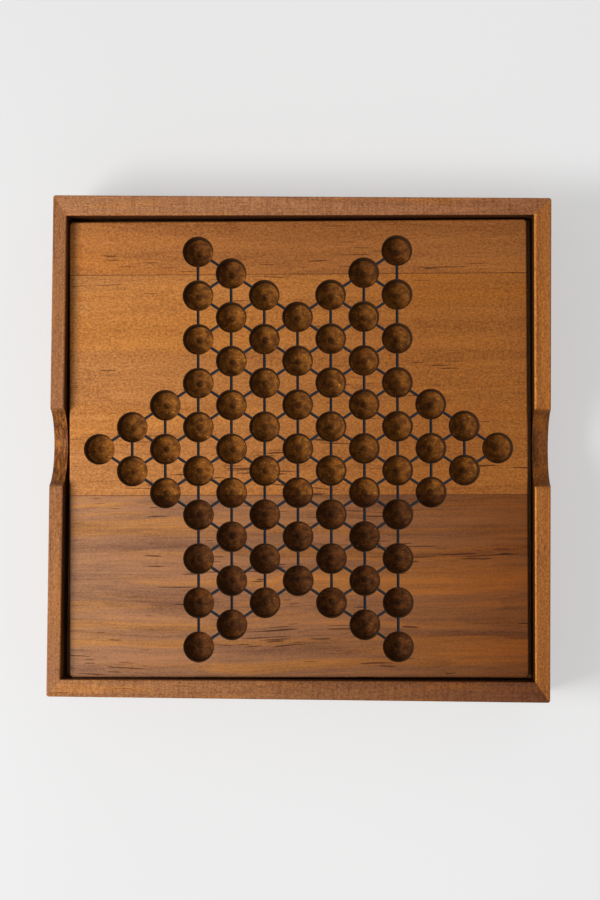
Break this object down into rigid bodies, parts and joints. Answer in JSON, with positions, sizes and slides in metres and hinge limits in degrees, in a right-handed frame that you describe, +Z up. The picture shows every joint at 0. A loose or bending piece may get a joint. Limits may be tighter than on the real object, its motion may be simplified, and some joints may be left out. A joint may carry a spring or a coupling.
{
  "type": "chinese checkers set",
  "caption": "Square wooden tray with two finger scoops, a lift-out board drilled with a star of sockets joined by grooves, and loose marbles stored below it.",
  "frame": {"origin": "middle of the tray's footprint, on the surface that it stands on", "axes": "+X to the right-hand scoop, +Y to the back wall, +Z up out of the tray"},
  "size_m": [0.2388, 0.2402, 0.047],
  "materials": {
    "tray_wood": "satin oiled hardwood, warm brown",
    "panel_plywood": "plain thin plywood, sanded",
    "ledge_wood": "plain sawn hardwood strip",
    "board_wood": "satin oiled hardwood, orange-brown, dark sockets and lines",
    "glass_red": "polished red glass",
    "glass_blue": "polished blue glass",
    "glass_green": "polished green glass",
    "glass_yellow": "polished yellow glass",
    "glass_white": "polished white glass",
    "glass_black": "polished black glass"
  },
  "bodies": {
    "tray": {"wall_front": "tray_wood", "wall_right": "tray_wood", "wall_back": "tray_wood", "wall_left": "tray_wood", "base_panel": "panel_plywood", "ledge_front": "ledge_wood", "ledge_right": "ledge_wood", "ledge_back": "ledge_wood", "ledge_left": "ledge_wood"},
    "board": {"plank_back": "board_wood", "plank_middle": "board_wood", "plank_front": "board_wood"},
    "marble_red_1": {"marble_red_1": "glass_red"},
    "marble_red_2": {"marble_red_2": "glass_red"},
    "marble_red_3": {"marble_red_3": "glass_red"},
    "marble_red_4": {"marble_red_4": "glass_red"},
    "marble_red_5": {"marble_red_5": "glass_red"},
    "marble_red_6": {"marble_red_6": "glass_red"},
    "marble_blue_1": {"marble_blue_1": "glass_blue"},
    "marble_blue_2": {"marble_blue_2": "glass_blue"},
    "marble_blue_3": {"marble_blue_3": "glass_blue"},
    "marble_blue_4": {"marble_blue_4": "glass_blue"},
    "marble_blue_5": {"marble_blue_5": "glass_blue"},
    "marble_blue_6": {"marble_blue_6": "glass_blue"},
    "marble_green_1": {"marble_green_1": "glass_green"},
    "marble_green_2": {"marble_green_2": "glass_green"},
    "marble_green_3": {"marble_green_3": "glass_green"},
    "marble_green_4": {"marble_green_4": "glass_green"},
    "marble_green_5": {"marble_green_5": "glass_green"},
    "marble_green_6": {"marble_green_6": "glass_green"},
    "marble_yellow_1": {"marble_yellow_1": "glass_yellow"},
    "marble_yellow_2": {"marble_yellow_2": "glass_yellow"},
    "marble_yellow_3": {"marble_yellow_3": "glass_yellow"},
    "marble_yellow_4": {"marble_yellow_4": "glass_yellow"},
    "marble_yellow_5": {"marble_yellow_5": "glass_yellow"},
    "marble_yellow_6": {"marble_yellow_6": "glass_yellow"},
    "marble_white_1": {"marble_white_1": "glass_white"},
    "marble_white_2": {"marble_white_2": "glass_white"},
    "marble_white_3": {"marble_white_3": "glass_white"},
    "marble_white_4": {"marble_white_4": "glass_white"},
    "marble_white_5": {"marble_white_5": "glass_white"},
    "marble_white_6": {"marble_white_6": "glass_white"},
    "marble_black_1": {"marble_black_1": "glass_black"},
    "marble_black_2": {"marble_black_2": "glass_black"},
    "marble_black_3": {"marble_black_3": "glass_black"},
    "marble_black_4": {"marble_black_4": "glass_black"},
    "marble_black_5": {"marble_black_5": "glass_black"},
    "marble_black_6": {"marble_black_6": "glass_black"}
  },
  "joints": [
    {"name": "board_lift", "type": "slide", "parent": "tray", "child": "board", "axis": [0, 0, 1], "range_m": [0, 0.06]},
    {"name": "marble_red_1_roll", "type": "slide", "parent": "tray", "child": "marble_red_1", "axis": [1, 0, 0], "range_m": [-0.006, 0.006]},
    {"name": "marble_red_2_roll", "type": "slide", "parent": "tray", "child": "marble_red_2", "axis": [1, 0, 0], "range_m": [-0.006, 0.006]},
    {"name": "marble_red_3_roll", "type": "slide", "parent": "tray", "child": "marble_red_3", "axis": [1, 0, 0], "range_m": [-0.006, 0.006]},
    {"name": "marble_red_4_roll", "type": "slide", "parent": "tray", "child": "marble_red_4", "axis": [1, 0, 0], "range_m": [-0.006, 0.006]},
    {"name": "marble_red_5_roll", "type": "slide", "parent": "tray", "child": "marble_red_5", "axis": [1, 0, 0], "range_m": [-0.006, 0.006]},
    {"name": "marble_red_6_roll", "type": "slide", "parent": "tray", "child": "marble_red_6", "axis": [1, 0, 0], "range_m": [-0.006, 0.006]},
    {"name": "marble_blue_1_roll", "type": "slide", "parent": "tray", "child": "marble_blue_1", "axis": [1, 0, 0], "range_m": [-0.006, 0.006]},
    {"name": "marble_blue_2_roll", "type": "slide", "parent": "tray", "child": "marble_blue_2", "axis": [1, 0, 0], "range_m": [-0.006, 0.006]},
    {"name": "marble_blue_3_roll", "type": "slide", "parent": "tray", "child": "marble_blue_3", "axis": [1, 0, 0], "range_m": [-0.006, 0.006]},
    {"name": "marble_blue_4_roll", "type": "slide", "parent": "tray", "child": "marble_blue_4", "axis": [1, 0, 0], "range_m": [-0.006, 0.006]},
    {"name": "marble_blue_5_roll", "type": "slide", "parent": "tray", "child": "marble_blue_5", "axis": [1, 0, 0], "range_m": [-0.006, 0.006]},
    {"name": "marble_blue_6_roll", "type": "slide", "parent": "tray", "child": "marble_blue_6", "axis": [1, 0, 0], "range_m": [-0.006, 0.006]},
    {"name": "marble_green_1_roll", "type": "slide", "parent": "tray", "child": "marble_green_1", "axis": [1, 0, 0], "range_m": [-0.006, 0.006]},
    {"name": "marble_green_2_roll", "type": "slide", "parent": "tray", "child": "marble_green_2", "axis": [1, 0, 0], "range_m": [-0.006, 0.006]},
    {"name": "marble_green_3_roll", "type": "slide", "parent": "tray", "child": "marble_green_3", "axis": [1, 0, 0], "range_m": [-0.006, 0.006]},
    {"name": "marble_green_4_roll", "type": "slide", "parent": "tray", "child": "marble_green_4", "axis": [1, 0, 0], "range_m": [-0.006, 0.006]},
    {"name": "marble_green_5_roll", "type": "slide", "parent": "tray", "child": "marble_green_5", "axis": [1, 0, 0], "range_m": [-0.006, 0.006]},
    {"name": "marble_green_6_roll", "type": "slide", "parent": "tray", "child": "marble_green_6", "axis": [1, 0, 0], "range_m": [-0.006, 0.006]},
    {"name": "marble_yellow_1_roll", "type": "slide", "parent": "tray", "child": "marble_yellow_1", "axis": [1, 0, 0], "range_m": [-0.006, 0.006]},
    {"name": "marble_yellow_2_roll", "type": "slide", "parent": "tray", "child": "marble_yellow_2", "axis": [1, 0, 0], "range_m": [-0.006, 0.006]},
    {"name": "marble_yellow_3_roll", "type": "slide", "parent": "tray", "child": "marble_yellow_3", "axis": [1, 0, 0], "range_m": [-0.006, 0.006]},
    {"name": "marble_yellow_4_roll", "type": "slide", "parent": "tray", "child": "marble_yellow_4", "axis": [1, 0, 0], "range_m": [-0.006, 0.006]},
    {"name": "marble_yellow_5_roll", "type": "slide", "parent": "tray", "child": "marble_yellow_5", "axis": [1, 0, 0], "range_m": [-0.006, 0.006]},
    {"name": "marble_yellow_6_roll", "type": "slide", "parent": "tray", "child": "marble_yellow_6", "axis": [1, 0, 0], "range_m": [-0.006, 0.006]},
    {"name": "marble_white_1_roll", "type": "slide", "parent": "tray", "child": "marble_white_1", "axis": [1, 0, 0], "range_m": [-0.006, 0.006]},
    {"name": "marble_white_2_roll", "type": "slide", "parent": "tray", "child": "marble_white_2", "axis": [1, 0, 0], "range_m": [-0.006, 0.006]},
    {"name": "marble_white_3_roll", "type": "slide", "parent": "tray", "child": "marble_white_3", "axis": [1, 0, 0], "range_m": [-0.006, 0.006]},
    {"name": "marble_white_4_roll", "type": "slide", "parent": "tray", "child": "marble_white_4", "axis": [1, 0, 0], "range_m": [-0.006, 0.006]},
    {"name": "marble_white_5_roll", "type": "slide", "parent": "tray", "child": "marble_white_5", "axis": [1, 0, 0], "range_m": [-0.006, 0.006]},
    {"name": "marble_white_6_roll", "type": "slide", "parent": "tray", "child": "marble_white_6", "axis": [1, 0, 0], "range_m": [-0.006, 0.006]},
    {"name": "marble_black_1_roll", "type": "slide", "parent": "tray", "child": "marble_black_1", "axis": [1, 0, 0], "range_m": [-0.006, 0.006]},
    {"name": "marble_black_2_roll", "type": "slide", "parent": "tray", "child": "marble_black_2", "axis": [1, 0, 0], "range_m": [-0.006, 0.006]},
    {"name": "marble_black_3_roll", "type": "slide", "parent": "tray", "child": "marble_black_3", "axis": [1, 0, 0], "range_m": [-0.006, 0.006]},
    {"name": "marble_black_4_roll", "type": "slide", "parent": "tray", "child": "marble_black_4", "axis": [1, 0, 0], "range_m": [-0.006, 0.006]},
    {"name": "marble_black_5_roll", "type": "slide", "parent": "tray", "child": "marble_black_5", "axis": [1, 0, 0], "range_m": [-0.006, 0.006]},
    {"name": "marble_black_6_roll", "type": "slide", "parent": "tray", "child": "marble_black_6", "axis": [1, 0, 0], "range_m": [-0.006, 0.006]}
  ],
  "couplings": [
    {"joint": "marble_red_2_roll", "follows": "marble_red_1_roll", "ratio": 1},
    {"joint": "marble_red_3_roll", "follows": "marble_red_1_roll", "ratio": 1},
    {"joint": "marble_red_4_roll", "follows": "marble_red_1_roll", "ratio": 1},
    {"joint": "marble_red_5_roll", "follows": "marble_red_1_roll", "ratio": 1},
    {"joint": "marble_red_6_roll", "follows": "marble_red_1_roll", "ratio": 1},
    {"joint": "marble_blue_1_roll", "follows": "marble_red_1_roll", "ratio": 1},
    {"joint": "marble_blue_2_roll", "follows": "marble_red_1_roll", "ratio": 1},
    {"joint": "marble_blue_3_roll", "follows": "marble_red_1_roll", "ratio": 1},
    {"joint": "marble_blue_4_roll", "follows": "marble_red_1_roll", "ratio": 1},
    {"joint": "marble_blue_5_roll", "follows": "marble_red_1_roll", "ratio": 1},
    {"joint": "marble_blue_6_roll", "follows": "marble_red_1_roll", "ratio": 1},
    {"joint": "marble_green_1_roll", "follows": "marble_red_1_roll", "ratio": 1},
    {"joint": "marble_green_2_roll", "follows": "marble_red_1_roll", "ratio": 1},
    {"joint": "marble_green_3_roll", "follows": "marble_red_1_roll", "ratio": 1},
    {"joint": "marble_green_4_roll", "follows": "marble_red_1_roll", "ratio": 1},
    {"joint": "marble_green_5_roll", "follows": "marble_red_1_roll", "ratio": 1},
    {"joint": "marble_green_6_roll", "follows": "marble_red_1_roll", "ratio": 1},
    {"joint": "marble_yellow_1_roll", "follows": "marble_red_1_roll", "ratio": 1},
    {"joint": "marble_yellow_2_roll", "follows": "marble_red_1_roll", "ratio": 1},
    {"joint": "marble_yellow_3_roll", "follows": "marble_red_1_roll", "ratio": 1},
    {"joint": "marble_yellow_4_roll", "follows": "marble_red_1_roll", "ratio": 1},
    {"joint": "marble_yellow_5_roll", "follows": "marble_red_1_roll", "ratio": 1},
    {"joint": "marble_yellow_6_roll", "follows": "marble_red_1_roll", "ratio": 1},
    {"joint": "marble_white_1_roll", "follows": "marble_red_1_roll", "ratio": 1},
    {"joint": "marble_white_2_roll", "follows": "marble_red_1_roll", "ratio": 1},
    {"joint": "marble_white_3_roll", "follows": "marble_red_1_roll", "ratio": 1},
    {"joint": "marble_white_4_roll", "follows": "marble_red_1_roll", "ratio": 1},
    {"joint": "marble_white_5_roll", "follows": "marble_red_1_roll", "ratio": 1},
    {"joint": "marble_white_6_roll", "follows": "marble_red_1_roll", "ratio": 1},
    {"joint": "marble_black_1_roll", "follows": "marble_red_1_roll", "ratio": 1},
    {"joint": "marble_black_2_roll", "follows": "marble_red_1_roll", "ratio": 1},
    {"joint": "marble_black_3_roll", "follows": "marble_red_1_roll", "ratio": 1},
    {"joint": "marble_black_4_roll", "follows": "marble_red_1_roll", "ratio": 1},
    {"joint": "marble_black_5_roll", "follows": "marble_red_1_roll", "ratio": 1},
    {"joint": "marble_black_6_roll", "follows": "marble_red_1_roll", "ratio": 1}
  ]
}
